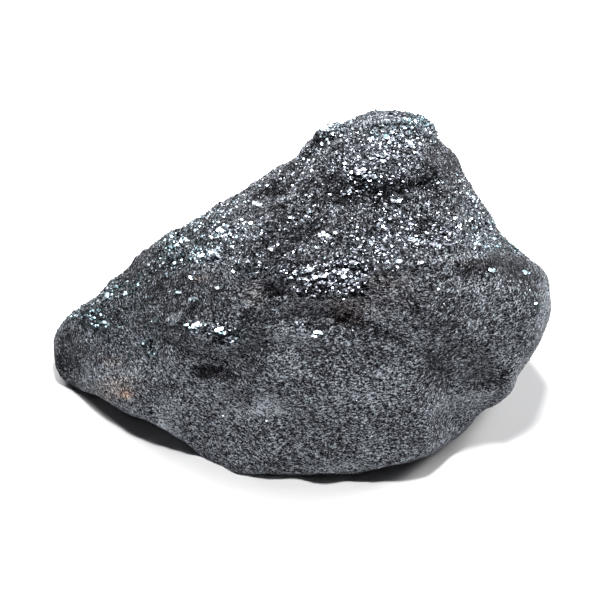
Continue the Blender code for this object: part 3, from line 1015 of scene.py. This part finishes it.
# What they do to the tone, in stops.
GRAIN_RANGE, DARKEST_GRAIN = 5.0, -5.56
FINE_WEIGHT, STREAK_WEIGHT, PATCH_WEIGHT = 9.0, 8.5, 2.0
CLUMP_WEIGHT, TOP_CLUMP_WEIGHT = 2.0, 5.0
# The pits are painted shade: small dark spots that stand for shaded pits.
PIT_PAINTED_SHADE = -3.2
# The ore's tints, and the rust's, where it is dark and where it is light.
ORE_TINTS = ((1.01, 0.985, 1.20, 1.0), (0.925, 1.013, 1.115, 1.0))
RUST_TINTS = ((1.7, 0.8, 0.75, 1.0), (1.42, 1.0, 0.72, 1.0))
LIGHTEST = 0.7
POLISHED = (0.50, 0.525, 0.57)
FLAKE_GREY = (0.90, 1.01, 1.15)
# Painted colour fringes of the glints: blue-green and pink.
FLAKE_COOL = (0.62, 1.0, 1.0, 1.0)
FLAKE_PINK = (1.0, 0.86, 0.95, 1.0)


def ore_tone(m, mm, flat, grain, fine):
    """How light the ore is at each place, in stops: its grains, noise of four sizes, painted shade
    of pits, and the tone that the mesh holds, which carries painted light and shade.
    """
    stops = m.math("MULTIPLY_ADD", grain, GRAIN_RANGE, DARKEST_GRAIN)
    streaks = m.noise(squeezed(m, mm, STREAK_SQUEEZE), STREAK_SCALE, 2.0, 0.6)
    clumps = m.noise(flat, CLUMP_SCALE, 1.0, 0.5)
    patches = m.noise(mm, PATCH_SCALE, 3.0, 0.6)
    clumpy = m.math("MULTIPLY_ADD", m.attribute("upper"), TOP_CLUMP_WEIGHT, CLUMP_WEIGHT)
    for value, weight in (
        (fine, FINE_WEIGHT),
        (streaks, STREAK_WEIGHT),
        (clumps, clumpy),
        (patches, PATCH_WEIGHT),
    ):
        part = m.math("SUBTRACT", value, 0.5)
        stops = m.math("MULTIPLY_ADD", part, weight, stops)
    _, pit = m.cells(flat, PIT_SCALE)
    depth = m.math("MULTIPLY_ADD", pit[0], -10.0, 2.0, clamp=True)
    stops = m.math("MULTIPLY_ADD", depth, PIT_PAINTED_SHADE, stops)
    # The tone that the mesh holds adds painted light and shade: the spots', the underside's and the
    # back's.
    return m.math("ADD", stops, m.attribute("tone"))


def grain_normal(m, colour, mirror):
    """A normal that leans its own way in each grain. Mirrors also lean to face along POLE."""
    lean = m.vector("SUBTRACT", colour, (0.5, 0.5, 0.5))
    normal = m.add("ShaderNodeNewGeometry").outputs["Normal"]
    layered = m.vector("SCALE", tuple(POLE), m.math("MULTIPLY", mirror, 0.9))
    amount = m.math("MULTIPLY_ADD", mirror, 0.4, 0.6)
    tilted = m.vector("ADD", m.vector("ADD", normal, layered), m.vector("SCALE", lean, amount))
    return m.vector("NORMALIZE", tilted)


def ore_material():
    """Fine crystals of dark to light grey with a blue tinge. Some are mirror-like."""
    m = Nodes("micaceous_ore")
    place = m.add("ShaderNodeTexCoord").outputs["Object"]
    mm = m.vector("SCALE", place, 1 / MM)
    flat = squeezed(m, mm, GRAIN_SQUEEZE)
    grains, cell = m.cells(flat, GRAIN_SCALE)
    fine = m.noise(flat, FINE_SCALE, 1.0, 0.6)
    stops = ore_tone(m, mm, flat, cell[0], fine)
    shade = m.math("MINIMUM", m.math("POWER", 2.0, stops), LIGHTEST)
    lightness = m.math("MULTIPLY_ADD", stops, 0.25, 1.4, clamp=True)
    grey = m.vector("SCALE", m.mix(lightness, *ORE_TINTS), shade)
    rusty = m.vector("SCALE", m.mix(lightness, *RUST_TINTS), shade)
    rust = m.math("MULTIPLY", m.attribute("rust"), fine)
    rust = m.math("MULTIPLY", rust, 1.5, clamp=True)
    mirrors = m.math("MULTIPLY_ADD", m.attribute("glitter"), 0.6, 0.03)
    mirror = m.math("LESS_THAN", cell[1], mirrors)
    # Painted fall-off: each mirror grain is darker towards its edge, which softens the edge of its
    # glint.
    glint_falloff = m.math("MULTIPLY_ADD", grains["Distance"], -2.2, 1.25, clamp=True)
    shine = m.math("MULTIPLY", m.math("POWER", cell[2], 2.0), glint_falloff)
    polished = m.vector("SCALE", POLISHED, shine)
    m.set(m.shader, "Base Color", m.mix(mirror, m.mix(rust, grey, rusty), polished))
    m.set(m.shader, "Metallic", m.math("MULTIPLY", mirror, 0.75))
    m.set(m.shader, "Roughness", m.math("MULTIPLY_ADD", mirror, -0.22, 0.6))
    m.set(m.shader, "Specular IOR Level", 0.04)
    m.set(m.shader, "Normal", grain_normal(m, grains["Color"], mirror))
    return m.material


def flake_material():
    """Bright metallic flakes, each of its own tone, gloss and tint, and darker at the edge. The
    darker edge is a painted fall-off that softens each glint, the bright flakes' higher tone is a
    painted highlight, and the tint is painted colour fringing.
    """
    m = Nodes("hematite_flakes")
    stops = m.math("MULTIPLY_ADD", m.attribute("tone"), 4.6, -4.9)
    # Painted fall-off: the rim is darker than the middle, which softens the edge of each glint.
    stops = m.math("MULTIPLY_ADD", m.math("SUBTRACT", m.attribute("middle"), 1.0), 2.2, stops)
    grey = m.vector("SCALE", FLAKE_GREY, m.math("POWER", 2.0, stops))
    coolness = m.math("MULTIPLY", m.attribute("tint"), 0.8, clamp=True)
    cool = m.mix(coolness, grey, FLAKE_COOL, "MULTIPLY")
    pinkness = m.math("MULTIPLY", m.attribute("tint"), -0.8, clamp=True)
    m.set(m.shader, "Base Color", m.mix(pinkness, cool, FLAKE_PINK, "MULTIPLY"))
    m.set(m.shader, "Metallic", 0.65)
    m.set(m.shader, "Specular IOR Level", 0.2)
    m.set(m.shader, "Roughness", m.math("MULTIPLY_ADD", m.attribute("gloss"), 0.22, 0.16))
    return m.material


# -------- the studio


def add_camera():
    """The camera, which looks down at the front of the rock."""
    data = bpy.data.cameras.new("camera")
    data.sensor_width = SENSOR
    data.lens = SENSOR * CAMERA_DISTANCE / (PICTURE_WIDTH * MM_PER_PIXEL)
    data.clip_start = NEAREST
    data.clip_end = FARTHEST
    camera = bpy.data.objects.new("camera", data)
    back = Vector(TO_CAMERA)
    camera.location = (Vector(CAMERA_AIM) + back * CAMERA_DISTANCE) * MM
    camera.rotation_mode = "QUATERNION"
    camera.rotation_quaternion = (-back).to_track_quat("-Z", "Y")
    bpy.context.scene.collection.objects.link(camera)
    bpy.context.scene.camera = camera


def add_light(name, azimuth, rise, distance, size, power):
    """A square soft light that points at the rock."""
    data = bpy.data.lights.new(name, "AREA")
    data.shape = "SQUARE"
    data.size = size
    data.energy = power
    light = bpy.data.objects.new(name, data)
    towards = Vector(direction(azimuth, rise))
    light.location = towards * distance
    light.rotation_mode = "QUATERNION"
    light.rotation_quaternion = (-towards).to_track_quat("-Z", "Y")
    bpy.context.scene.collection.objects.link(light)


def add_floor():
    """A plain white floor, as far as the lights reach."""
    bpy.ops.mesh.primitive_circle_add(vertices=128, radius=FLOOR_RADIUS, fill_type="NGON")
    floor = bpy.context.object
    floor.name = "floor"
    m = Nodes("white_floor")
    m.set(m.shader, "Base Color", FLOOR_COLOUR)
    m.set(m.shader, "Roughness", 0.9)
    m.set(m.shader, "Specular IOR Level", 0.1)
    floor.data.materials.append(m.material)


def add_backdrop():
    """White surroundings to look at, which light nothing and throw no shadow."""
    bpy.ops.mesh.primitive_uv_sphere_add(radius=BACKDROP_RADIUS)
    backdrop = bpy.context.object
    backdrop.name = "backdrop"
    for seen_by in ("diffuse", "glossy", "transmission", "shadow"):
        setattr(backdrop, f"visible_{seen_by}", False)
    m = Nodes("white_backdrop")
    m.set(m.shader, "Base Color", (0.0, 0.0, 0.0, 1.0))
    m.set(m.shader, "Specular IOR Level", 0.0)
    m.set(m.shader, "Emission Color", (1.0, 1.0, 1.0, 1.0))
    m.set(m.shader, "Emission Strength", 1.0)
    m.material.cycles.emission_sampling = "NONE"
    backdrop.data.materials.append(m.material)


def add_world():
    """Dim, even surroundings."""
    world = bpy.data.worlds.new("studio")
    world.use_nodes = True
    background = world.node_tree.nodes["Background"]
    background.inputs["Color"].default_value = WORLD_COLOUR
    background.inputs["Strength"].default_value = WORLD_STRENGTH
    bpy.context.scene.world = world


def add_studio():
    """Floor, surroundings and soft lights."""
    add_floor()
    add_backdrop()
    add_world()
    for name, settings in LIGHTS.items():
        add_light(name, *settings)
    bpy.context.scene.view_settings.view_transform = "Standard"


# -------- the object


def build():
    """The rock and its flakes."""
    surface, looks = rock_surface()
    rock = make_rock(surface, looks)
    rock.data.materials.append(ore_material())
    glitter, upper = looks["glitter"], looks["upper"]
    crowded = glitter**CROWDING
    flakes = [
        spread_flakes("upper_flakes", surface, crowded + 0.001, UPPER_GLINTS * crowded),
        spread_flakes("fine_flakes", surface, glitter + 0.02, FINE_GLINTS * glitter),
        spread_flakes("lower_flakes", surface, 1.1 - upper, LOWER_GLINTS * (1 + glitter)),
        bright_groups("large_flakes", surface),
    ]
    bright = flake_material()
    for piece in flakes:
        piece.data.materials.append(bright)
    for piece in [rock, *flakes]:
        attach(piece, "root")
    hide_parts("hematite")


build()
add_studio()
add_camera()
